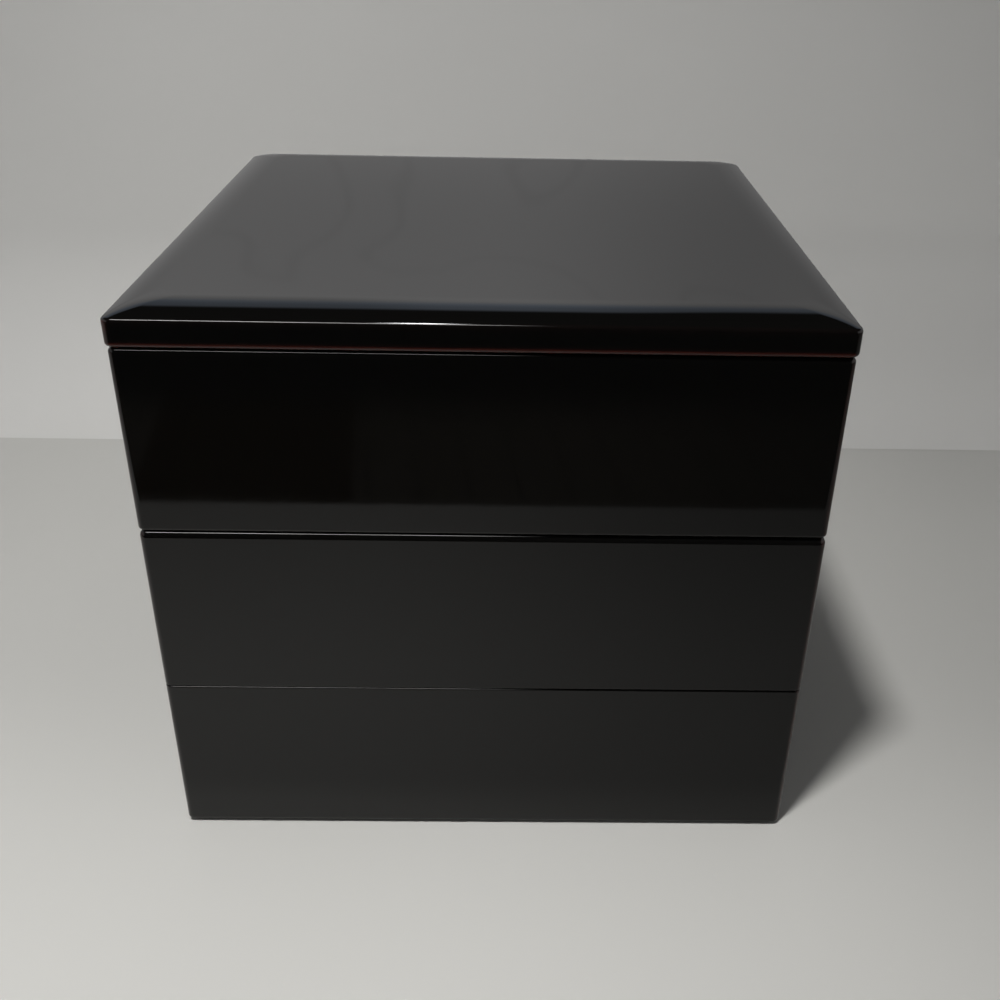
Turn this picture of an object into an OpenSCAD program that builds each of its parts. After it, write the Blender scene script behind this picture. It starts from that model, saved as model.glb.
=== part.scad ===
// Three-tier lacquered stacking food box with a lift-off lid.
// Millimetres. +Z is up, -Y is the front, and the origin is the middle of the base.
// Every tier is four mitred wall boards, a floor board let into their lower edges, and four
// base strips under the floor. The strips drop into the rebated rim of the tier below.

/* [Tiers] */
// Outer side of the square tiers
box_side = 195; // [120:1:300]
// Height of one tier from the lower edge of its walls to its rim
tier_height = 54.5; // [45:0.1:90]
// Thickness of the wall boards
wall_thickness = 6.5; // [5.5:0.1:10]
// Radius of the upright corners, seen from above
corner_radius = 2.2; // [0.6:0.1:5]
// Rounding of the bottom tier's lower outer edge
bottom_lower_radius = 0.9; // [0.2:0.1:1.5]
// Rounding of the middle tier's lower outer edge
middle_lower_radius = 0.9; // [0.2:0.1:1.5]
// Rounding of the top tier's lower outer edge
top_lower_radius = 1.5; // [0.2:0.1:2]
// Rounding of the bottom tier's rim
bottom_rim_radius = 0.6; // [0.2:0.1:1.9]
// Rounding of the middle tier's rim, which shows as a dark line under the top tier
middle_rim_radius = 2.2; // [0.2:0.1:2.4]
// Rounding of the top tier's rim
top_rim_radius = 0.6; // [0.2:0.1:1.9]

/* [Floors and base strips] */
// Thickness of the floor boards
floor_thickness = 4; // [2.5:0.1:8]
// Width of the base strips and of the lid's locating strips
strip_width = 6; // [4:0.1:12]
// How deep the strips are let in above the lower edge of the walls
strip_seat = 1.5; // [0.8:0.1:3]
// How far the strips stand out below the walls
strip_drop = 1.1; // [0.8:0.1:3]
// How far the strips stand back from the outer face of the walls
strip_inset = 2.8; // [2.5:0.1:4]
// Play all round between the strips and the rim below
rim_play = 0.3; // [0.1:0.05:0.5]
// Free depth under the strips in the rim's rebate
rebate_slack = 0.5; // [0.2:0.1:1.5]

/* [Lid] */
// How far the lid stands out past the walls
lid_overhang = 0.5; // [0.2:0.1:2]
// Height of the upright band round the lid
lid_band = 7.7; // [6:0.1:14]
// Height of the rim boards under the lid's top panel
lid_rim_height = 4.4; // [3.6:0.1:5.5]
// Width of the soft shoulder between the flat top and the band
shoulder_width = 13; // [6:0.5:25]
// Height of that shoulder
shoulder_height = 3.1; // [1:0.1:6]
// Rounding of the lid's lower outer edge
lid_edge_radius = 1; // [0.3:0.1:1.3]

/* [Corner keys] */
// Thickness of the hidden keys in the mitres
key_thickness = 1.2; // [0.8:0.1:2]
// Width of the walls' keys, across the mitre
key_width = 4; // [2:0.1:4.5]
// Height of the walls' keys
key_height = 10; // [6:0.5:12]
// Wood left between the walls' keys and the floor or the rebate
key_margin = 5; // [2:0.5:6]
// Side of the lid's flat square keys
lid_key_side = 5; // [3:0.1:6]

/* [Hidden] */
$fn = 48;

// Colours
lacquer_black = "#14110f";
lacquer_red = "#8e2414";
bare_wood = "#c9a874";

// Quarter turns that bring a front piece to each side
front = 0;
right = 1;
back = 2;
left = 3;

// Place of each tier in the stack, and the rounding of its lower edge and its rim
bottom = 0;
middle = 1;
top = 2;
lower_radius = [bottom_lower_radius, middle_lower_radius, top_lower_radius];
rim_radius = [bottom_rim_radius, middle_rim_radius, top_rim_radius];

// Heights of the walls' lower edges and of the lid's, above the surface the box stands on
function tier_base(tier) = strip_drop + tier * tier_height;
lid_base = tier_base(3);

// Fits that follow from the sizes above
rim_lip = strip_inset - rim_play;
rebate_depth = strip_drop + rebate_slack;
floor_top = strip_seat + floor_thickness;
lid_side = box_side + 2 * lid_overhang;
lid_strip_inset = strip_inset + lid_overhang;
lid_rim_width = lid_strip_inset + strip_width;
panel_height = lid_band - lid_rim_height + shoulder_height;
shoulder_radius = (pow(shoulder_width, 2) + pow(shoulder_height, 2)) / (2 * shoulder_height);

// Overshoot of the cutting shapes
cut = 1;

// What is cut off a square edge at the origin to round it
module edge_cut(radius) {
    difference() {
        translate([-cut, -cut])
            square(radius + cut);
        translate([radius, radius])
            circle(radius);
    }
}

// Section of a wall board: x runs inwards from the outer face, y runs up
module wall_section(lower, rim) {
    difference() {
        square([wall_thickness, tier_height]);
        translate([rim_lip, tier_height - rebate_depth])
            square([wall_thickness, rebate_depth + cut]);
        translate([strip_inset, -cut])
            square([wall_thickness, floor_top + cut]);
        translate([0, tier_height])
            mirror([0, 1])
                edge_cut(rim);
        edge_cut(lower);
    }
}

// Section of a lid rim board, which is rebated for the locating strip
module lid_rim_section() {
    difference() {
        square([lid_rim_width, lid_rim_height]);
        translate([lid_strip_inset, -cut])
            square([lid_rim_width, strip_seat + cut]);
        edge_cut(lid_edge_radius);
    }
}

// Section of the lid's top panel across the whole lid, with a round shoulder at each end
module panel_section() {
    difference() {
        translate([-lid_side / 2, 0])
            square([lid_side, panel_height]);
        for (end = [0, 1])
            mirror([end, 0])
                shoulder_cut();
    }
}

// What the shoulder takes off one end of that section
module shoulder_cut() {
    difference() {
        translate([lid_side / 2 - shoulder_width, panel_height - shoulder_height])
            square([shoulder_width + cut, shoulder_height + cut]);
        translate([lid_side / 2 - shoulder_width, panel_height - shoulder_radius])
            circle(shoulder_radius, $fn = 180);
    }
}

// Square with rounded corners, seen from above
module rounded_square(side, radius) {
    square([side, side - 2 * radius], center = true);
    square([side - 2 * radius, side], center = true);
    for (sx = [-1, 1], sy = [-1, 1])
        translate([sx * (side / 2 - radius), sy * (side / 2 - radius)])
            circle(radius);
}

// The front quarter of a square frame between its two mitres, seen from above
module mitred_quarter(side, radius) {
    intersection() {
        rounded_square(side, radius);
        polygon([[0, 0], [-side, -side], [side, -side]]);
    }
}

// A section carried along the front of a frame and mitred at both ends
module mitred_board(side, radius, height) {
    intersection() {
        translate([-side / 2, -side / 2, 0])
            rotate([90, 0, 90])
                linear_extrude(side)
                    children();
        linear_extrude(height)
            mitred_quarter(side, radius);
    }
}

// The two keys at the left end of a front wall; they stand upright across the mitre
module wall_keys() {
    key_place = -(box_side - wall_thickness) / 2;
    lower_key = floor_top + key_margin;
    upper_key = tier_height - rebate_depth - key_margin - key_height;
    for (level = [lower_key, upper_key])
        translate([key_place, key_place, level + key_height / 2])
            rotate([0, 0, -45])
                cube([key_width, key_thickness, key_height], center = true);
}

// The key at the left end of the lid's front rim; it lies flat across the mitre
module lid_key() {
    key_place = -(lid_side - lid_rim_width) / 2;
    translate([key_place, key_place, (lid_rim_height + strip_seat) / 2])
        rotate([0, 0, -45])
            cube([lid_key_side, lid_key_side, key_thickness], center = true);
}

// Repeats a corner's pieces at all four corners
module at_corners() {
    for (turn = [0:3])
        rotate([0, 0, 90 * turn])
            children();
}

// One wall board of a tier
module wall(tier, side) {
    color(lacquer_black)
        translate([0, 0, tier_base(tier)])
            rotate([0, 0, 90 * side])
                difference() {
                    mitred_board(box_side, corner_radius, tier_height)
                        wall_section(lower_radius[tier], rim_radius[tier]);
                    wall_keys();
                    rotate([0, 0, 90])
                        wall_keys();
                }
}

// Floor board of a tier, glued up into the rebate along the lower edges of the walls
module floor_board(tier) {
    floor_side = box_side - 2 * strip_inset;
    color(lacquer_red)
        translate([-floor_side / 2, -floor_side / 2, tier_base(tier) + strip_seat])
            cube([floor_side, floor_side, floor_thickness]);
}

// One strip of the frame that stands below a tier or below the lid
module strip(base, side) {
    frame_side = box_side - 2 * strip_inset;
    color(lacquer_black)
        translate([0, 0, base - strip_drop])
            rotate([0, 0, 90 * side])
                mitred_board(frame_side, corner_radius, strip_drop + strip_seat)
                    square([strip_width, strip_drop + strip_seat]);
}

// The eight keys in the corners of a tier
module corner_keys(tier) {
    color(bare_wood)
        translate([0, 0, tier_base(tier)])
            at_corners()
                wall_keys();
}

// Top panel of the lid, with the soft shoulder on all four sides
module lid_top_panel() {
    color(lacquer_black)
        translate([0, 0, lid_base + lid_rim_height])
            intersection() {
                rotate([90, 0, 0])
                    linear_extrude(lid_side, center = true)
                        panel_section();
                rotate([90, 0, 90])
                    linear_extrude(lid_side, center = true)
                        panel_section();
                linear_extrude(panel_height)
                    rounded_square(lid_side, corner_radius + lid_overhang);
            }
}

// One rim board of the lid
module lid_rim(side) {
    color(lacquer_black)
        translate([0, 0, lid_base])
            rotate([0, 0, 90 * side])
                difference() {
                    mitred_board(lid_side, corner_radius + lid_overhang, lid_rim_height)
                        lid_rim_section();
                    lid_key();
                    rotate([0, 0, 90])
                        lid_key();
                }
}

// The four keys in the corners of the lid's rim
module lid_corner_keys() {
    color(bare_wood)
        translate([0, 0, lid_base])
            at_corners()
                lid_key();
}

wall(bottom, front);  // bottom_tier_front_wall
wall(bottom, right);  // bottom_tier_right_wall
wall(bottom, back);  // bottom_tier_back_wall
wall(bottom, left);  // bottom_tier_left_wall
floor_board(bottom);  // bottom_tier_floor_board
strip(tier_base(bottom), front);  // bottom_tier_front_strip
strip(tier_base(bottom), right);  // bottom_tier_right_strip
strip(tier_base(bottom), back);  // bottom_tier_back_strip
strip(tier_base(bottom), left);  // bottom_tier_left_strip
corner_keys(bottom);  // bottom_tier_corner_keys

wall(middle, front);  // middle_tier_front_wall
wall(middle, right);  // middle_tier_right_wall
wall(middle, back);  // middle_tier_back_wall
wall(middle, left);  // middle_tier_left_wall
floor_board(middle);  // middle_tier_floor_board
strip(tier_base(middle), front);  // middle_tier_front_strip
strip(tier_base(middle), right);  // middle_tier_right_strip
strip(tier_base(middle), back);  // middle_tier_back_strip
strip(tier_base(middle), left);  // middle_tier_left_strip
corner_keys(middle);  // middle_tier_corner_keys

wall(top, front);  // top_tier_front_wall
wall(top, right);  // top_tier_right_wall
wall(top, back);  // top_tier_back_wall
wall(top, left);  // top_tier_left_wall
floor_board(top);  // top_tier_floor_board
strip(tier_base(top), front);  // top_tier_front_strip
strip(tier_base(top), right);  // top_tier_right_strip
strip(tier_base(top), back);  // top_tier_back_strip
strip(tier_base(top), left);  // top_tier_left_strip
corner_keys(top);  // top_tier_corner_keys

lid_top_panel();
lid_rim(front);  // lid_front_rim
lid_rim(right);  // lid_right_rim
lid_rim(back);  // lid_back_rim
lid_rim(left);  // lid_left_rim
strip(lid_base, front);  // lid_front_strip
strip(lid_base, right);  // lid_right_strip
strip(lid_base, back);  // lid_back_strip
strip(lid_base, left);  // lid_left_strip
lid_corner_keys();
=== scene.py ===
import math

import bpy
import numpy as np
from mathutils import Matrix, Vector


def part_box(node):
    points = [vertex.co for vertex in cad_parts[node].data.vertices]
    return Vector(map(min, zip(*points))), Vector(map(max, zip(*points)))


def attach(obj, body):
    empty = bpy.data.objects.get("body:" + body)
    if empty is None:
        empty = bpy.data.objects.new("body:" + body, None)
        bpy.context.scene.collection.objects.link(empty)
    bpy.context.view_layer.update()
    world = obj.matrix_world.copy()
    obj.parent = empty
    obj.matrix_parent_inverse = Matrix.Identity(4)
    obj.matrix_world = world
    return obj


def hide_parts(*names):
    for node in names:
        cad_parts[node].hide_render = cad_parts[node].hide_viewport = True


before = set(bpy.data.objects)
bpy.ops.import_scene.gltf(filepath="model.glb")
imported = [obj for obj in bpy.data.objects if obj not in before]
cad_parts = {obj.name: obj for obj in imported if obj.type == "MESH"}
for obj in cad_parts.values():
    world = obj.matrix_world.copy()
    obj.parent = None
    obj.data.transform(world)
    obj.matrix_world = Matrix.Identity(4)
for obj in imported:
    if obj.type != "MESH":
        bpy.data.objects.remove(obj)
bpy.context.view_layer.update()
mm = 0.001
sides = ["front", "right", "back", "left"]  # in quarter turns from the front
tiers = ["bottom_tier", "middle_tier", "top_tier"]
print("frame loaded:", len(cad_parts), "nodes")


# Shader nodes written as sums

class Wire:  # one socket; arithmetic on it adds Math nodes
    def __init__(self, tree, socket=None):
        self.tree, self.socket = tree, socket

    def node(self, kind, settings, sockets, out=0):  # any node: its settings first, then its sockets
        made = self.tree.nodes.new(kind)
        for key, value in settings.items():
            setattr(made, key, value)
        for key, value in sockets.items():
            if isinstance(value, Wire):
                self.tree.links.new(value.socket, made.inputs[key])
            else:
                made.inputs[key].default_value = value
        return Wire(self.tree, made.outputs[out] if len(made.outputs) else None)

    def math(self, operation, *values):
        return self.node("ShaderNodeMath", {"operation": operation}, dict(enumerate(values)))

    def __add__(self, other):
        return self.math("ADD", self, other)

    def __mul__(self, other):
        return self.math("MULTIPLY", self, other)

    def __sub__(self, other):
        return self.math("SUBTRACT", self, other)

    def __rsub__(self, other):
        return self.math("SUBTRACT", other, self)

    def __truediv__(self, other):
        return self.math("DIVIDE", self, other)

    __radd__ = __add__
    __rmul__ = __mul__

    def ramp(self, low, high):  # 0 below low, 1 above high, smooth between
        return self.node("ShaderNodeMapRange", {"interpolation_type": "SMOOTHSTEP"},
                         {"Value": self, "From Min": low, "From Max": high})

    def mix(self, first, second):  # colours, with this wire as the factor
        first, second = (end if isinstance(end, Wire) else (*end, 1) for end in (first, second))
        return self.node("ShaderNodeMix", {"data_type": "RGBA"}, {0: self, 6: first, 7: second}, 2)

    def noise(self, scale, detail=2.0, stretch=(1, 1, 1)):  # grains per metre of this place
        place = self.node("ShaderNodeMapping", {}, {"Vector": self, "Scale": stretch})
        return self.node("ShaderNodeTexNoise", {},
                         {"Vector": place, "Scale": scale, "Detail": detail}, "Fac")

    def colour(self, values):
        return self.node("ShaderNodeCombineXYZ", {}, dict(zip("XYZ", values)))

    def split(self):
        return [self.node("ShaderNodeSeparateXYZ", {}, {"Vector": self}, axis) for axis in "XYZ"]

    def times(self, strength):  # a colour made brighter or darker
        return self.node("ShaderNodeVectorMath", {"operation": "SCALE"}, {0: self, "Scale": strength})

    def creases(self, scale, stretch=(1, 1, 1)):  # thin lines where a noise crosses its middle
        away = self.math("ABSOLUTE", self.noise(scale, 1.5, stretch) - 0.5)
        return 1 - away.ramp(0.0, 0.012)

    def finish(self, settings):  # the surface, linked to the output
        surface = self.node("ShaderNodeBsdfPrincipled", {}, settings)
        self.node("ShaderNodeOutputMaterial", {}, {"Surface": surface})


def newMaterial(name):
    material = bpy.data.materials.new(name)
    material.use_nodes = True
    material.node_tree.nodes.clear()
    return material, Wire(material.node_tree)


# Materials

# Grains are per metre
lacquer = {
    "black": (0.0031, 0.0030, 0.0029),
    "thinRed": (0.050, 0.012, 0.009),     # the undercoat showing where the black lies thin
    "vermilion": (0.33, 0.030, 0.011),
    "polish": 0.045,                      # roughness of the outside
    "insidePolish": 0.24,
    "peel": 1.1e-6,                       # height of the orange peel, in metres
    "wave": 1.6e-5,                       # height of the long waves in the rubbed-down ground
    "dust": 0.35,                         # how far a dust speck turns pale
    "dustColour": (0.30, 0.29, 0.27),
    "dustCells": 210,
    "dustSize": (0.012, 0.030),           # in cells, from its core to its edge
    "dustRare": (0.955, 0.96),            # only cells above this get a speck
    "dustRough": 0.4,
    "patches": 95,                        # grain of the thin places along the edges
    "patchFrom": 0.55, "patchShare": 0.9,
    "smears": 28,
    "smearRough": 0.022,
    "insideGrain": 60,
    "insideRough": 0.08,
    "peelGrain": 420,
    "waveGrain": 22,
}


def lacquerMaterial(name, look):
    material, make = newMaterial(name)
    place = make.node("ShaderNodeTexCoord", {}, {}, "Object")
    thin = make.node("ShaderNodeAttribute", {"attribute_name": "thin"}, {}, "Fac")
    inside = make.node("ShaderNodeAttribute", {"attribute_name": "inside"}, {}, "Fac").ramp(0.45, 0.55)
    patches = place.noise(look["patches"], 3)
    edge = make.math("MINIMUM", thin * (look["patchFrom"] + look["patchShare"] * patches), 1.0)
    outside = edge.mix(look["black"], look["thinRed"])
    shade = place.noise(look["insideGrain"], 4)
    ground = inside.mix(outside, look["vermilion"])
    cells = {"Vector": place, "Scale": look["dustCells"]}
    away = make.node("ShaderNodeTexVoronoi", {"feature": "F1"}, cells, "Distance")
    pick = make.node("ShaderNodeTexVoronoi", {"feature": "F1"}, cells, "Color")
    rare = make.node("ShaderNodeSeparateColor", {}, {"Color": pick}, "Red").ramp(*look["dustRare"])
    dust = (1 - away.ramp(*look["dustSize"])) * rare
    dusty = (dust * look["dust"]).mix(ground, look["dustColour"])
    smear = place.noise(look["smears"], 3, (1, 1.6, 2.2)).ramp(0.45, 0.75)
    rough = look["polish"] + look["smearRough"] * smear + look["dustRough"] * dust \
        + inside * (look["insidePolish"] + look["insideRough"] * shade)
    height = place.noise(look["peelGrain"], 2) * look["peel"] + place.noise(look["waveGrain"], 1) * look["wave"]
    relief = make.node("ShaderNodeBump", {}, {"Strength": 1.0, "Distance": 1.0, "Height": height}, "Normal")
    make.finish({"Base Color": dusty, "Roughness": rough, "Normal": relief, "IOR": 1.45})
    return material


wood = {"pale": (0.62, 0.44, 0.26), "dark": (0.42, 0.25, 0.12), "rings": 900, "fibre": 3500,
        "relief": 5e-5, "rough": 0.55}


def woodMaterial(name, look):
    material, make = newMaterial(name)
    place = make.node("ShaderNodeTexCoord", {}, {}, "Object")
    rings = place.noise(look["rings"], 3, (1, 1, 0.05))
    fibre = place.noise(look["fibre"], 2, (1, 1, 0.03))
    colour = rings.ramp(0.35, 0.7).mix(look["pale"], look["dark"])
    relief = make.node("ShaderNodeBump", {}, {"Strength": 0.5, "Distance": look["relief"], "Height": fibre},
                       "Normal")
    make.finish({"Base Color": colour, "Roughness": look["rough"] + 0.2 * fibre, "Normal": relief})
    return material


lacquerLook = lacquerMaterial("lacquer", lacquer)
woodLook = woodMaterial("keyWood", wood)
print("materials made")


# Surfaces

# An outline round a list of corners (inwards, up). Each corner is an arc of its radius that
# touches both sides: centre = corner + bisector * radius / sin(half angle), and the points are
# the start direction turned evenly to the end direction. A few points follow on each straight, at
# the distances in "beyond" but never past its middle.
def roundedOutline(corners, radii, steps, beyond):
    corner = np.array(corners, float)
    radius = np.array(radii, float)[:, None]
    back = np.roll(corner, 1, 0) - corner
    ahead = np.roll(corner, -1, 0) - corner
    backLength = np.linalg.norm(back, axis=1, keepdims=True)
    aheadLength = np.linalg.norm(ahead, axis=1, keepdims=True)
    back, ahead = back / backLength, ahead / aheadLength
    halfAngle = np.arccos(np.clip((back * ahead).sum(1, keepdims=True), -1, 1)) / 2
    reach = radius / np.tan(halfAngle)
    bisector = (back + ahead) / np.linalg.norm(back + ahead, axis=1, keepdims=True)
    centre = corner + bisector * radius / np.sin(halfAngle)
    start = (corner + back * reach - centre) / radius
    end = (corner + ahead * reach - centre) / radius
    span = np.pi - 2 * halfAngle
    turn = np.linspace(0, 1, steps)[None, :, None]
    arc = (np.sin((1 - turn) * span[:, None]) * start[:, None]
           + np.sin(turn * span[:, None]) * end[:, None]) / np.sin(span)[:, None]
    points = centre[:, None] + arc * radius[:, None]
    freeBack = (backLength - reach - np.roll(reach, 1, 0))[:, None]
    freeAhead = (aheadLength - reach - np.roll(reach, -1, 0))[:, None]
    further = np.array(beyond)[None, :, None]
    before = (corner + back * reach)[:, None] + back[:, None] * np.minimum(further[:, ::-1], freeBack * 0.45)
    after = (corner + ahead * reach)[:, None] + ahead[:, None] * np.minimum(further, freeAhead * 0.45)
    cross = back[:, 0] * ahead[:, 1] - back[:, 1] * ahead[:, 0]
    bend = np.sign(cross * np.sign(cross.sum()))[:, None, None]  # -1 at an inside corner
    normal = np.concatenate([np.repeat(arc[:, :1], len(beyond), 1), arc,
                             np.repeat(arc[:, -1:], len(beyond), 1)], 1) * bend
    return np.concatenate([before, points, after], 1), normal


# Grid of a surface: row i, column j. Faces join neighbours, and the rows close on themselves
# when the outline is closed.
def gridFaces(rows, columns, closed):
    i = np.arange(rows if closed else rows - 1)[:, None]
    j = np.arange(columns - 1)[None, :]
    following = (i + 1) % rows
    return np.stack([i * columns + j, following * columns + j,
                     following * columns + j + 1, i * columns + j + 1], -1).reshape(-1, 4)


# Puts points, faces and normals into a mesh. The faces are turned over as one where they look
# inwards: cross product of a face's diagonals, against its normals. The caps are flat faces with a
# normal of their own, and each mark is a value per point that the material reads.
def putMesh(name, points, normals, quads, caps, marks, material):
    edgeA = points[quads[:, 2]] - points[quads[:, 0]]
    edgeB = points[quads[:, 3]] - points[quads[:, 1]]
    facing = (np.cross(edgeA, edgeB) * normals[quads].mean(1)).sum()
    if facing < 0:
        quads = quads[:, ::-1]
    faces = quads.tolist()
    loopNormals = [normals[quads].reshape(-1, 3)]
    for ring, normal in caps:
        ring = np.array(ring)
        p = points[ring]
        area = np.cross(p, np.roll(p, -1, 0)).sum(0)
        if np.dot(area, normal) < 0:
            ring = ring[::-1]
        faces.append(ring.tolist())
        loopNormals.append(np.repeat([normal], len(ring), 0))
    mesh = bpy.data.meshes.new(name)
    mesh.from_pydata(points.tolist(), [], faces)
    mesh.polygons.foreach_set("use_smooth", [True] * len(mesh.polygons))
    for key, values in marks.items():
        mesh.attributes.new(key, "FLOAT", "POINT").data.foreach_set("value", values.astype(np.float32))
    mesh.normals_split_custom_set(np.concatenate(loopNormals).astype(np.float32).tolist())
    mesh.materials.append(material)
    piece = bpy.data.objects.new(name, mesh)
    bpy.context.scene.collection.objects.link(piece)
    return piece


# Quarter turns about the middle of the box
def turned(vectors, side):
    angle = side * math.pi / 2
    c, s = round(math.cos(angle)), round(math.sin(angle))
    return vectors @ np.array([[c, s, 0], [-s, c, 0], [0, 0, 1]], float)


# How finely a board's length is divided, how far its worn corners reach along it, and how deep
path = {"cornerZone": 4.5 * mm, "cornerSteps": 30, "sideSteps": 12, "thinFade": 1.2 * mm,
        "skin": 0.3 * mm, "skinFade": 0.8 * mm}


# A mitred board: an outline carried along one side of a square frame. A point u inwards of the
# outer face runs straight at that distance, and turns at each end on an arc of radius
# (corner - u) about the corner's axis, up to the mitre at 45 degrees. Each of the frame's four
# corners is worn by its own share, from the mitre to "thinFade" along the board.
def mitredBoard(name, side, half, corner, base, outline, normal, marks, material):
    u, v = outline[:, 0][:, None], outline[:, 1][:, None]
    radius = np.maximum(corner - u, 0)
    arcLength = radius * math.pi / 4
    axis = half - np.maximum(corner, u)
    total = arcLength + axis
    near = np.arange(path["cornerSteps"]) / path["cornerSteps"] * path["cornerZone"]
    far = np.linspace(0, 1, path["sideSteps"])[None, :]
    s = np.concatenate([np.repeat(near[None], len(u), 0),
                        path["cornerZone"] + far * (total - path["cornerZone"])], 1)
    angle = np.where(s < arcLength, (1 - s / np.maximum(arcLength, 1e-9)) * math.pi / 4, 0)
    x = -axis - radius * np.sin(angle) + np.maximum(s - arcLength, 0)
    y = -axis - radius * np.cos(angle)
    nx, ny = normal[:, :1] * np.sin(angle), normal[:, :1] * np.cos(angle)
    mirror = slice(-2, None, -1)
    x, y = np.concatenate([x, -x[:, mirror]], 1), np.concatenate([y, y[:, mirror]], 1)
    nx, ny = np.concatenate([nx, -nx[:, mirror]], 1), np.concatenate([ny, ny[:, mirror]], 1)
    s = np.concatenate([s, s[:, mirror]], 1)
    columns = x.shape[1]
    points = np.stack([x, y, base + v + 0 * x], -1).reshape(-1, 3)
    normals = np.stack([nx, ny, normal[:, 1:] + 0 * x], -1).reshape(-1, 3)
    upright = np.clip(1 - s / path["thinFade"], 0, 1)
    outer = np.clip((corner + path["skin"] - u) / path["skinFade"], 0, 1)  # only a corner's outer skin
    worn = np.where(x < 0, marks["worn"][side], marks["worn"][(side + 1) % 4])
    thin = np.maximum(marks["thin"][:, None], upright * outer * worn)
    inside = marks["inside"][:, None] + 0 * x
    rows = len(u)
    leftCap = np.arange(rows) * columns
    diagonal = math.sqrt(0.5)
    caps = [(leftCap, turned(np.array([-diagonal, diagonal, 0]), side)),
            (leftCap + columns - 1, turned(np.array([diagonal, diagonal, 0]), side))]
    return putMesh(name, turned(points, side), turned(normals, side), gridFaces(rows, columns, True),
                   caps, {"thin": thin.ravel(), "inside": inside.ravel()}, material)


# A slab: rings one below the other, each a square of its own half side with corners of its own
# radius, closed by a flat face above and one below. The normal leans by the slope between the
# rings: (-dz * outwards, change of the ring along outwards). Its upright faces are worn at the
# corners by sin(2 * bend)^3, most in the middle of each corner.
def slab(name, half, radius, z, lean, marks, steps, material):
    straight = np.linspace(-1, 1, steps["side"])[None, :-1]
    bend = np.linspace(0, math.pi / 2, steps["corner"])[None, :-1]
    inner = (half - radius)[:, None]
    x = np.concatenate([inner * straight, inner + radius[:, None] * np.sin(bend)], 1)
    y = np.concatenate([-half[:, None] + 0 * straight, -inner - radius[:, None] * np.cos(bend)], 1)
    outX = np.concatenate([0 * straight, np.sin(bend)], 1) + 0 * x
    outY = np.concatenate([-1 + 0 * straight, -np.cos(bend)], 1) + 0 * x
    corner = np.concatenate([1 + 0 * straight, np.sin(bend) + np.cos(bend)], 1)
    grow, growRadius, drop = lean
    spread = (grow - growRadius)[:, None] * corner + growRadius[:, None]
    flat = np.sqrt(spread ** 2 + drop[:, None] ** 2)
    quarter = np.stack([x, y, z[:, None] + 0 * x], -1)
    quarterNormal = np.stack([outX * drop[:, None] / flat, outY * drop[:, None] / flat, spread / flat], -1)
    points = np.concatenate([turned(quarter, side) for side in range(4)], 1)
    normals = np.concatenate([turned(quarterNormal, side) for side in range(4)], 1)
    rows, columns = points.shape[:2]
    i, j = np.arange(rows - 1)[:, None], np.arange(columns)[None, :]
    beside = (j + 1) % columns
    quads = np.stack([i * columns + j, (i + 1) * columns + j,
                      (i + 1) * columns + beside, i * columns + beside], -1).reshape(-1, 4)
    caps = [(np.arange(columns), np.array([0, 0, 1.0])),
            ((rows - 1) * columns + np.arange(columns), np.array([0, 0, -1.0]))]
    ends = np.roll(marks.pop("worn", np.zeros(4)), -1)[:, None]  # the corner that ends each quarter
    wornSide = np.repeat(0 * ends, straight.shape[1], 1)
    worn = np.concatenate([wornSide, ends * np.sin(2 * bend) ** 3], 1).ravel()
    spreadMarks = {key: np.repeat(value[:, None], columns, 1) for key, value in marks.items()}
    spreadMarks["thin"] = np.maximum(spreadMarks["thin"], worn * (drop[:, None] > 0.9))
    spreadMarks = {key: value.ravel() for key, value in spreadMarks.items()}
    return putMesh(name, points.reshape(-1, 3), normals.reshape(-1, 3), quads, caps, spreadMarks,
                   material)


def addPiece(piece, node, body):
    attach(piece, body)
    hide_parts(node)


# Tiers

# Radii in mm: how each edge of a wall board is eased
wall = {
    "corner": 2.2,
    "lowerEdge": {"bottom_tier": 0.9, "middle_tier": 0.75, "top_tier": 1.15},
    "rimEdge": {"bottom_tier": 0.45, "middle_tier": 2.2, "top_tier": 1.45},
    "rimDrop": {"bottom_tier": 0, "middle_tier": 0, "top_tier": 0.12},
    "rimInside": 0.25,
    "ledge": 0.3,
    "hidden": 0.1,
    "lip": 2.5,          # width of the rim outside its rebate
    "rebate": 1.6,
    "stripInset": 2.8,
    "thin": {"lowerEdge": 0.01, "rimEdge": 0.0, "inner": 0.3},
    "worn": [0.22, 0.60, 0.20, 0.20],  # front left corner, front right, back right, back left
}


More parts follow.
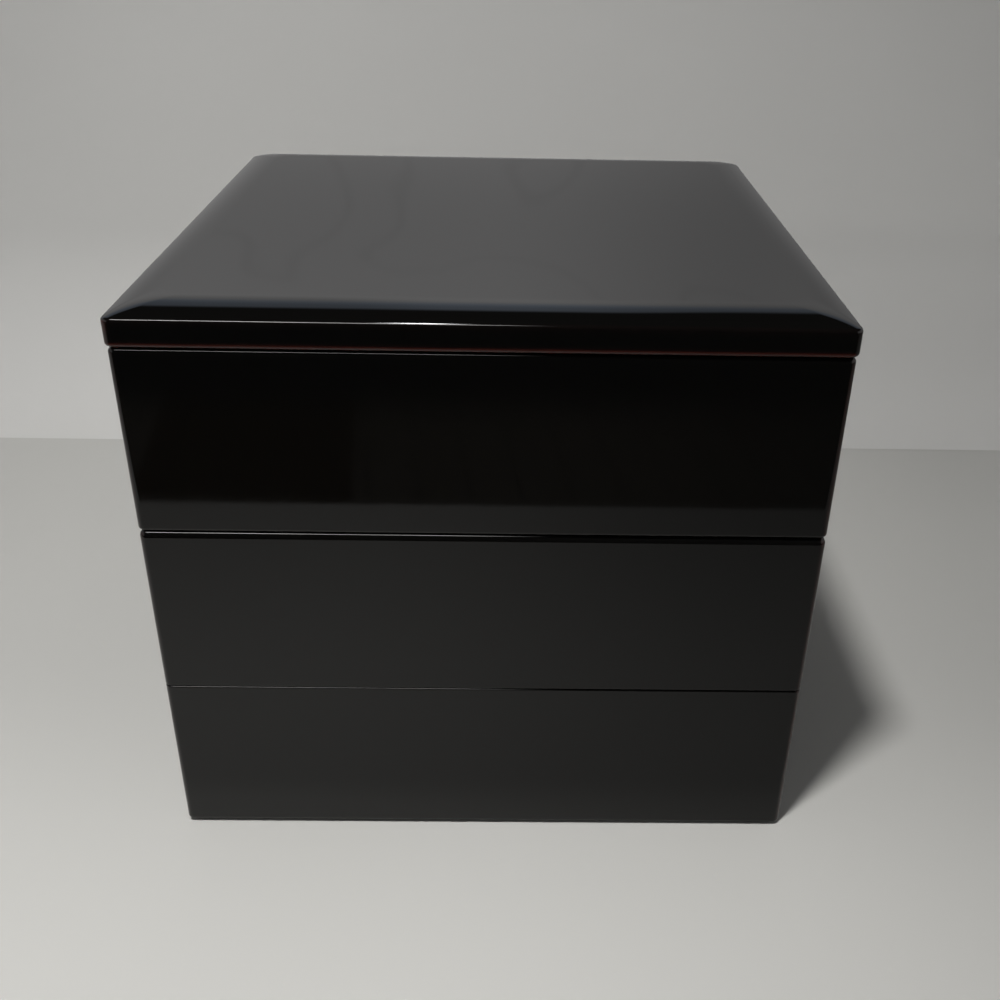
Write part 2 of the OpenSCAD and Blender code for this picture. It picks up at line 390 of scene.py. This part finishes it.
def wallBoard(tier, side, look):
    node = f"{tier}_{side}_wall"
    low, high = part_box(f"{tier}_front_wall")
    half, thick, height = -low[1], high[1] - low[1], high[2] - low[2]
    lip, inset = look["lip"] * mm, look["stripInset"] * mm
    ledge = height - look["rebate"] * mm
    height = height - look["rimDrop"][tier] * mm
    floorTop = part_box(f"{tier}_floor_board")[1][2] - low[2]
    corners = [(0, 0), (0, height), (lip, height), (lip, ledge), (thick, ledge), (thick, floorTop),
               (inset, floorTop), (inset, 0)]
    radii = np.array([look["lowerEdge"][tier], look["rimEdge"][tier], look["rimInside"], look["hidden"],
                      look["ledge"], look["hidden"], look["hidden"], look["hidden"]]) * mm
    points, normal = roundedOutline(corners, radii, 11, (0.3 * mm, 0.8 * mm, 2 * mm))
    perCorner = points.shape[1]
    inner = look["thin"]["inner"]
    thinAt = np.array([look["thin"]["lowerEdge"], look["thin"]["rimEdge"], inner, 0, 0, 0, 0, inner])
    fade = np.array([0, 0.15, 0.5] + [1] * 11 + [0.5, 0.15, 0])  # over the points of one corner
    thin = (thinAt[:, None] * fade).ravel()
    inside = np.repeat([0, 0, 0, 1, 1, 1, 0, 0], perCorner).astype(float)
    piece = mitredBoard(node + "_lacquered", sides.index(side), half, look["corner"] * mm, low[2],
                        points.reshape(-1, 2), normal.reshape(-1, 2),
                        {"thin": thin, "inside": inside, "worn": look["worn"]}, lacquerLook)
    addPiece(piece, node, tier)


# Radii in mm
board = {"edge": 0.3, "corner": 0.4}


# Its edges are quarter circles: inwards = edge * (1 - sin), down = edge * (1 - cos)
def floorBoard(tier, look):
    node = f"{tier}_floor_board"
    low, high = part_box(node)
    edge = look["edge"] * mm
    turn = np.linspace(0, math.pi / 2, 7)
    inwards = np.concatenate([edge * (1 - np.sin(turn)), edge * (1 - np.cos(turn))])
    z = np.concatenate([high[2] - edge * (1 - np.cos(turn)), low[2] + edge * (1 - np.sin(turn))])
    outwards = np.concatenate([np.sin(turn), np.cos(turn)])
    up = np.concatenate([np.cos(turn), -np.sin(turn)])
    half = high[0] - inwards
    radius = np.maximum(look["corner"] * mm - inwards, 1e-5)
    marks = {"thin": 0 * z, "inside": np.concatenate([1 + 0 * turn, 0 * turn])}
    piece = slab(node + "_lacquered", half, radius, z, (up, up, outwards), marks,
                 {"side": 6, "corner": 8}, lacquerLook)
    addPiece(piece, node, tier)


# Radii in mm
strip = {"corner": 2.2, "edge": 0.35, "hidden": 0.1, "thin": 0.5, "worn": [0.1, 0.1, 0.1, 0.1]}


def baseStrip(body, side, look):
    node = f"{body}_{side}_strip"
    low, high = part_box(f"{body}_front_strip")
    half, wide, height = -low[1], high[1] - low[1], high[2] - low[2]
    corners = [(0, 0), (0, height), (wide, height), (wide, 0)]
    radii = np.array([look["edge"], look["hidden"], look["hidden"], look["edge"]]) * mm
    points, normal = roundedOutline(corners, radii, 7, (0.2 * mm, 0.6 * mm))
    perCorner = points.shape[1]
    thin = np.repeat([look["thin"], 0, 0, look["thin"]], perCorner) * 1.0
    piece = mitredBoard(node + "_lacquered", sides.index(side), half, look["corner"] * mm, low[2],
                        points.reshape(-1, 2), normal.reshape(-1, 2),
                        {"thin": thin, "inside": 0 * thin, "worn": look["worn"]}, lacquerLook)
    addPiece(piece, node, body)


for tier in tiers:
    for side in sides:
        wallBoard(tier, side, wall)
        baseStrip(tier, side, strip)
    floorBoard(tier, board)
print("tiers made")


# Lid

# Sizes in mm
lid = {
    "corner": 2.7,
    "softCorner": 7.0,      # corner radius of the flat top's edge, seen from above
    "shoulder": 13.0,
    "shoulderHeight": 3.1,
    "arris": 1.25,
    "lowerEdge": 1.1,
    "lift": 0.17,           # how far the rim's lower edge stays above the tier
    "sharp": 0.01,          # where the rim meets the panel
    "hidden": 0.1,
    "innerEdge": 0.3,
    "stripInset": 3.3,
    "seat": 1.5,
    "thin": {"arris": 0.02, "band": 0.01, "lowerEdge": 0.75, "inner": 0.3},
    "worn": [0.6, 0.12, 0.2, 0.3],  # front left corner, front right, back right, back left
}


# The shoulder is an arc of radius (width^2 + height^2) / (2 height) that starts level with the top.
# A small arc joins it to the upright band: its centre lies the band's own radius inwards, and
# (shoulder radius - arris radius) from the shoulder's centre.
def lidPanel(look):
    node = "lid_top_panel"
    low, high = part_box(node)
    wide, tall, small = look["shoulder"] * mm, look["shoulderHeight"] * mm, look["arris"] * mm
    big = (wide ** 2 + tall ** 2) / (2 * tall)
    centreUp = high[2] - big
    smallUp = centreUp + math.sqrt((big - small) ** 2 - (wide - small) ** 2)
    meet = math.atan2(wide - small, smallUp - centreUp)
    turn = np.linspace(0, meet, 40)
    edgeTurn = np.linspace(meet, math.pi / 2, 16)[1:]
    bandZ = np.array([smallUp - 0.6 * mm, smallUp - 1.5 * mm, low[2]])
    inwards = np.concatenate([wide - big * np.sin(turn), small * (1 - np.sin(edgeTurn)), 0 * bandZ])
    z = np.concatenate([centreUp + big * np.cos(turn), smallUp + small * np.cos(edgeTurn), bandZ])
    outwards = np.concatenate([np.sin(turn), np.sin(edgeTurn), 1 + 0 * bandZ])
    up = np.concatenate([np.cos(turn), np.cos(edgeTurn), 0 * bandZ])
    soft = (look["softCorner"] - look["corner"]) / look["shoulder"]
    radius = look["corner"] * mm + soft * inwards
    thin = np.concatenate([0 * turn, np.full(len(edgeTurn), look["thin"]["arris"]),
                           [look["thin"]["band"], 0, 0]])
    piece = slab(node + "_lacquered", high[0] - inwards, radius, z, (up, -soft * up, outwards),
                 {"thin": thin, "inside": 0 * thin, "worn": look["worn"]}, {"side": 40, "corner": 30},
                 lacquerLook)
    addPiece(piece, node, "lid")


def lidRim(side, look):
    node = f"lid_{side}_rim"
    low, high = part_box("lid_front_rim")
    half, wide, height = -low[1], high[1] - low[1], high[2] - low[2]
    inset, seat = look["stripInset"] * mm, look["seat"] * mm
    lift = look["lift"] * mm
    corners = [(0, lift), (0, height), (wide, height), (wide, seat), (inset, seat), (inset, lift)]
    sharp, hidden, innerEdge = look["sharp"], look["hidden"], look["innerEdge"]
    radii = np.array([look["lowerEdge"], sharp, hidden, hidden, hidden, innerEdge]) * mm
    points, normal = roundedOutline(corners, radii, 13, (0.2 * mm, 0.5 * mm, 1 * mm))
    fade = np.array([0.0, 0.1, 0.45] + [1] * 13 + [0.45, 0.1, 0])
    thinAt = np.array([look["thin"]["lowerEdge"], 0, 0, 0, 0, look["thin"]["inner"]])
    thin = (thinAt[:, None] * fade).ravel()
    piece = mitredBoard(node + "_lacquered", sides.index(side), half, look["corner"] * mm, low[2],
                        points.reshape(-1, 2), normal.reshape(-1, 2),
                        {"thin": thin, "inside": 0 * thin, "worn": look["worn"]}, lacquerLook)
    addPiece(piece, node, "lid")


lidPanel(lid)
for side in sides:
    lidRim(side, lid)
    baseStrip("lid", side, strip)
print("lid made")


# The hidden keys keep their solids and get wood

for node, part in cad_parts.items():
    if node.endswith("corner_keys"):
        part.data.materials.clear()
        part.data.materials.append(woodLook)


# Stage

# Metres, and grains per metre. Each shade is painted shade or painted reflection in the paper's colour: from,
# to, share.
stage = {
    "paper": (0.70, 0.70, 0.685),
    "creases": 9, "grain": 160, "tone": 3.5,
    "reach": 3.0,
    "curveStart": 0.19,                    # where the sheet starts to rise behind the box
    "curveRadius": 0.10,
    "curveTurn": 84,                       # degrees
    "sheetTop": 0.42,
    "sheetWide": 0.9,                      # to each side of the middle
    "sheetEdge": -0.314,                   # beyond this edge the room is dark
    "wrinkle": 2.0e-4,
    # Painted shade: the paper is made darker across, beside the box and with height, where less light falls.
    "dim": (-0.02, 0.26, 0.28),               # darker across, in x
    "near": (-0.17, 0.0, 0.20, 0.17),         # darker beside the box, in y; the last is on the right
    "nearAcross": (-0.1, 0.25),
    "rise": (0.05, 0.25, 0, 0),               # darker with height; the last is at the bend, on the right
    "bendAcross": (0.05, 0.2), "bendUp": (0.02, 0.11),
    # Painted reflection: these change the paper only as the box mirrors it.
    "mirrored": (-0.08, 0.14, 0.39, 0.12),    # where the box mirrors it: in x, and the last overall
    "mirroredFront": (-0.15, -0.31, 0.30),    # there, darker towards its front edge, in y
    "mirroredNear": (-0.120, -0.100, 0.35),   # there, brighter close to the box, in y
}


def paperMaterial(name, look, oneSided):
    material, make = newMaterial(name)
    place = make.node("ShaderNodeTexCoord", {}, {}, "Object")
    creases = place.noise(look["creases"], 6, (1, 1.6, 1.6))
    fine = place.noise(look["grain"], 3)
    tone = place.noise(look["tone"], 2).ramp(0.3, 0.7)
    colour = tone.mix(look["paper"], tuple(0.97 * c for c in look["paper"]))
    x, y, z = place.split()
    glossy = make.node("ShaderNodeLightPath", {}, {}, "Is Glossy Ray")
    # Painted shade: the paper's colour is darkened across, beside the box, with height and at the bend.
    left, right, share = look["dim"]
    lit = 1 - x.ramp(left, right) * share
    start, end, share, rightShare = look["near"]
    lit = lit * (1 - y.ramp(start, end) * (share + (rightShare - share) * x.ramp(*look["nearAcross"])))
    start, end, share, bendShare = look["rise"]
    bendShade = bendShare * x.ramp(*look["bendAcross"]) * (1 - z.ramp(*look["bendUp"]))
    lit = lit * (1 - z.ramp(start, end) * share) * (1 - bendShade)
    # Painted reflection: seen only in reflections, the paper is darker across and towards its front edge, and
    # brighter close to the box.
    left, right, share, overall = look["mirrored"]
    lit = lit * (1 - x.ramp(left, right) * share * glossy) * (1 - overall * glossy)
    start, end, share = look["mirroredFront"]
    lit = lit * (1 - (-1 * y).ramp(-start, -end) * share * glossy)
    start, end, share = look["mirroredNear"]
    lit = lit * (1 + y.ramp(start, end) * share * glossy)
    colour = lit.mix((0, 0, 0), colour)
    height = creases * look["wrinkle"] * 6 + fine * look["wrinkle"] * 0.15
    relief = make.node("ShaderNodeBump", {}, {"Strength": 0.35, "Distance": 1.0, "Height": height}, "Normal")
    surface = make.node("ShaderNodeBsdfPrincipled", {},
                        {"Base Color": colour, "Roughness": 0.9, "Specular IOR Level": 0.1, "Normal": relief})
    if oneSided:  # seen from behind, the sheet lets the camera through
        behind = make.node("ShaderNodeNewGeometry", {}, {}, "Backfacing")
        looking = make.node("ShaderNodeLightPath", {}, {}, "Is Camera Ray")
        clear = make.node("ShaderNodeBsdfTransparent", {}, {})
        surface = make.node("ShaderNodeMixShader", {}, {0: behind * looking, 1: surface, 2: clear})
    make.node("ShaderNodeOutputMaterial", {}, {"Surface": surface})
    return material


def glowMaterial(name, glowOf):  # a card's glow: colour and strength as functions of its place
    material, make = newMaterial(name)
    place = make.node("ShaderNodeTexCoord", {}, {}, "Object")
    glow = make.node("ShaderNodeEmission", {}, {"Color": glowOf(make, place)})
    make.node("ShaderNodeOutputMaterial", {}, {"Surface": glow})
    return material


# A sheet that runs along X: one line of points (y, z) carried from left to right
def runSheet(name, line, left, right, columns, material):
    line = np.array(line, float)
    x = np.linspace(left, right, columns)
    points = np.stack([np.repeat(x[None], len(line), 0), np.repeat(line[:, :1], columns, 1),
                       np.repeat(line[:, 1:], columns, 1)], -1).reshape(-1, 3)
    mesh = bpy.data.meshes.new(name)
    mesh.from_pydata(points.tolist(), [], gridFaces(len(line), columns, False)[:, ::-1].tolist())
    mesh.polygons.foreach_set("use_smooth", [True] * len(mesh.polygons))
    mesh.materials.append(material)
    sheet = bpy.data.objects.new(name, mesh)
    bpy.context.scene.collection.objects.link(sheet)
    return sheet


def onlyInReflections(card):
    card.visible_camera = card.visible_diffuse = card.visible_transmission = False
    card.visible_shadow = card.visible_volume_scatter = False


# The backdrop's line is an arc that ends in a straight rise. Its paper has painted shades of its own
# (darker with height, and at the bend on the right), and a shade of share 0 isn't there.
reach, riseFrom, bend = stage["reach"], stage["curveStart"], stage["curveRadius"]
runSheet("floor", [(-reach, 0), (reach, 0)], -reach, reach, 2, paperMaterial("floorPaper", stage, False))
curveTurn = math.radians(stage["curveTurn"])
rise = [(riseFrom + bend * math.sin(angle), bend * (1 - math.cos(angle)) + 0.0004)
        for angle in np.linspace(0, curveTurn, 24)]
topY = rise[-1][0] + (stage["sheetTop"] - rise[-1][1]) / math.tan(curveTurn)
risen = {**stage, "paper": (0.685, 0.685, 0.68), "dim": (-0.02, 0.26, 0.03), "near": (0, 1, 0, 0),
         "rise": (0.20, 0.36, 0.06, 0.22), "mirrored": (0, 1, 0, 0), "mirroredNear": (0, 1, 0)}
wide = stage["sheetWide"]
backdrop = runSheet("backdrop", rise + [(topY, stage["sheetTop"])], -wide, wide, 12,
                    paperMaterial("backdropPaper", risen, True))
backdrop.visible_shadow = False


# What the lid mirrors behind the box, as a painted reflection on a card that glows only in reflections: the
# sheet, brighter with height, then a bluish wall that fades and ends. Across, it is darker to the right low
# down and to both sides high up.
shine = {
    "line": [(0.283, 0.10), (0.300, 0.30), (0.318, 0.42), (0.330, 0.95)],  # (y, z) of the card
    "low": 0.32, "peak": 0.78, "from": 0.22, "to": 0.43,
    "fadeFrom": 0.44, "fadeTo": 0.58, "fadeShare": 0.20,
    "endFrom": 0.61, "endTo": 0.705, "endLean": 0.07, "endAcross": (0.08, 0.20),
    "white": (1, 0.99, 0.99), "blue": (0.72, 0.83, 1.0), "blueFrom": 0.40, "blueTo": 0.52,
    "lowLeft": 1.03, "lowFade": (-0.02, 0.17, 0.34),   # in x, by this share
    "highLeft": (0.03, 0.13, 0.24), "highRight": (0.0, 0.18, 0.42),
    "highFrom": 0.31, "highTo": 0.42,
    "crease": 0.05, "creaseGrain": 7,
}


def sheetShine(make, place):
    x, _, z = place.split()
    rising = shine["low"] + (shine["peak"] - shine["low"]) * z.ramp(shine["from"], shine["to"])
    fading = 1 - shine["fadeShare"] * z.ramp(shine["fadeFrom"], shine["fadeTo"])
    leaning = z + shine["endLean"] * x.ramp(*shine["endAcross"])
    ending = 1 - leaning.ramp(shine["endFrom"], shine["endTo"])
    start, end, share = shine["lowFade"]
    lowAcross = shine["lowLeft"] - share * x.ramp(start, end)
    start, end, share = shine["highLeft"]
    highAcross = 1 - share * (-1 * x).ramp(start, end)
    start, end, share = shine["highRight"]
    highAcross = highAcross * (1 - share * x.ramp(start, end))
    across = lowAcross + (highAcross - lowAcross) * z.ramp(shine["highFrom"], shine["highTo"])
    creases = 1 - shine["crease"] * place.creases(shine["creaseGrain"], (1, 1, 1.5))
    colour = z.ramp(shine["blueFrom"], shine["blueTo"]).mix(shine["white"], shine["blue"])
    return colour.times(rising * fading * ending * across * creases)


# What the polished edges mirror: a long lamp above and in front, strongest left of the middle
tube = {"y": -0.67, "z": 1.30, "wide": 0.15, "left": -0.55, "right": 0.10, "strength": 28,
        "colour": (1.0, 0.99, 0.97), "aim": (-0.098, 0.174),
        "stepFrom": -0.34, "stepTo": -0.24, "step": 0.25, "fadeFrom": -0.10, "fadeTo": 0.07}


def tubeShine(make, place):
    x = place.split()[0]
    stepped = 1 - tube["step"] * x.ramp(tube["stepFrom"], tube["stepTo"])
    faded = 1 - x.ramp(tube["fadeFrom"], tube["fadeTo"])
    return make.colour(tube["colour"]).times(stepped * faded * tube["strength"])


# A small round lamp, soft at its edge: exp(-4 * (distance / size)^2)
spot = {"x": -0.115, "y": -0.30, "z": 1.40, "wide": 0.07, "deep": 0.085, "strength": 330,
        "colour": (0.98, 0.98, 1.0)}


def spotShine(make, place):
    x, y, _ = place.split()
    acrossX, acrossY = (x - spot["x"]) / spot["wide"], (y - spot["y"]) / spot["deep"]
    glow = make.math("EXPONENT", -4.0 * (acrossX * acrossX + acrossY * acrossY))
    return make.colour(spot["colour"]).times(glow * spot["strength"])


# The room before the sheet's front edge, which the upper walls mirror, as a painted reflection on a card that
# glows only in
# reflections: a boarded floor with painted darkness that grows with distance. The boards run away from the box,
# leaning in x by this share of y.
boards = {
    "glow": (0.062, 0.054, 0.044), "dark": 0.0022, "from": -0.395, "to": -0.475,
    "lean": -0.12, "wide": 0.026, "joint": 0.0016, "jointShare": 0.5,
    "brown": (-0.148, -0.036), "brownTint": (0.38, 0.27, 0.14),
    "brownEdge": 0.006,
    "right": (0.0, 0.22, 0.55),      # darker from this x to this x, by this share
    "grain": 30, "grainFrom": 0.8, "grainShare": 0.4,
    "endsAt": (0.01, 0.05),          # the height from which there are no boards
    "line": [(-2.6, 0.0006), (-2.6, 2.4), (-0.2, 2.4), (1.2, 1.9), (1.2, 0.8)],  # (y, z) round the room
    "reach": 2.6,
}


def boardShine(make, place):
    x, y, z = place.split()
    along = x + boards["lean"] * y
    cell = make.math("FRACT", along / boards["wide"])
    joint = 1 - make.math("MINIMUM", cell, 1 - cell).ramp(0, boards["joint"] / boards["wide"])
    left, right = boards["brown"]
    soft = boards["brownEdge"]
    brown = along.ramp(left, left + soft) * (1 - along.ramp(right, right + soft))
    colour = brown.mix(boards["glow"], [a * b for a, b in zip(boards["glow"], boards["brownTint"])])
    start, end, share = boards["right"]
    grain = boards["grainFrom"] + boards["grainShare"] * place.noise(boards["grain"], 3)
    lit = (1 - boards["jointShare"] * joint) * (1 - x.ramp(start, end) * share) * grain
    far = (-1 * y).ramp(-boards["from"], -boards["to"])
    fade = make.math("MAXIMUM", far, z.ramp(*boards["endsAt"]))
    return fade.mix(colour.times(lit), make.colour([boards["dark"]] * 3))


roomCard = runSheet("darkRoomFront", [(stage["sheetEdge"], 0.0006)] + boards["line"],
                    -boards["reach"], boards["reach"], 2, glowMaterial("darkRoom", boardShine))
sheetCard = runSheet("sheetShine", shine["line"], -wide, wide, 2, glowMaterial("sheetShineGlow", sheetShine))
centre = np.array([tube["y"], tube["z"]])  # the lamp's card faces the lid's front edge
toBox = np.array(tube["aim"]) - centre
across = np.array([-toBox[1], toBox[0]]) / np.hypot(*toBox) * tube["wide"] / 2
lampCard = runSheet("tubeShine", [centre - across, centre + across], tube["left"], tube["right"], 2,
                    glowMaterial("tubeShineGlow", tubeShine))
spotLine = [(spot["y"] + away * spot["deep"], spot["z"]) for away in (-1, 1)]
spotCard = runSheet("spotShine", spotLine, spot["x"] - spot["wide"], spot["x"] + spot["wide"], 2,
                    glowMaterial("spotShineGlow", spotShine))
for card in (roomCard, sheetCard, lampCard, spotCard):
    onlyInReflections(card)

# The soft light all round: as the room is lit by it, and as it is seen and mirrored
studio = {"colour": (1.0, 0.995, 0.98), "lights": 0.16, "looks": 0.50}

world = bpy.data.worlds.new("studio")
bpy.context.scene.world = world
world.use_nodes = True
world.node_tree.nodes.clear()
make = Wire(world.node_tree)
rays = [make.node("ShaderNodeLightPath", {}, {}, f"Is {kind} Ray")
        for kind in ("Camera", "Glossy", "Transmission")]
seen = make.math("MINIMUM", rays[0] + rays[1] + rays[2], 1.0)
strength = studio["lights"] + (studio["looks"] - studio["lights"]) * seen
sky = make.node("ShaderNodeBackground", {}, {"Color": (*studio["colour"], 1), "Strength": strength})
make.node("ShaderNodeOutputWorld", {}, {"Surface": sky})


# Metres, degrees and watts
key = {"place": (-0.160, -0.348, 1.0), "aim": (-0.05, -0.12, 0), "beam": 90, "radius": 0.052, "power": 31.5,
       "colour": (1, 0.985, 0.955)}

lamp = bpy.data.lights.new("key", "SPOT")
lamp.spot_size, lamp.spot_blend = math.radians(key["beam"]), 1
lamp.shadow_soft_size, lamp.energy, lamp.color = key["radius"], key["power"], key["colour"]
lampHolder = bpy.data.objects.new("key", lamp)
lampHolder.location = key["place"]
lampHolder.rotation_euler = (Vector(key["aim"]) - Vector(key["place"])).to_track_quat("-Z", "Y").to_euler()
lampHolder.visible_glossy = False
bpy.context.scene.collection.objects.link(lampHolder)
print("stage lit")


# Camera

# Place in mm, angles in degrees: turn is to the right of +Y, tilt is downwards
view = {"place": (7.078, -372.27, 271.0), "turn": 1.237, "tilt": 29.511, "roll": 1.277, "lens": 40.568,
        "shift": (-0.0308, 0.0196)}

turn, tilt, roll = (math.radians(view[angle]) for angle in ("turn", "tilt", "roll"))
ahead = Vector((math.sin(turn) * math.cos(tilt), math.cos(turn) * math.cos(tilt), -math.sin(tilt)))
level = Vector((math.cos(turn), -math.sin(turn), 0))
upright = level.cross(ahead)
right = level * math.cos(roll) + upright * math.sin(roll)
above = upright * math.cos(roll) - level * math.sin(roll)
lens = bpy.data.cameras.new("camera")
lens.sensor_width, lens.lens = 36, view["lens"]
lens.shift_x, lens.shift_y = view["shift"]
lens.clip_start, lens.clip_end = 0.01, 20
camera = bpy.data.objects.new("camera", lens)
camera.matrix_world = Matrix((*zip(right, above, -ahead, Vector(view["place"]) * mm), (0, 0, 0, 1)))
bpy.context.scene.collection.objects.link(camera)
bpy.context.scene.camera = camera
bpy.context.scene.view_settings.view_transform = "Standard"
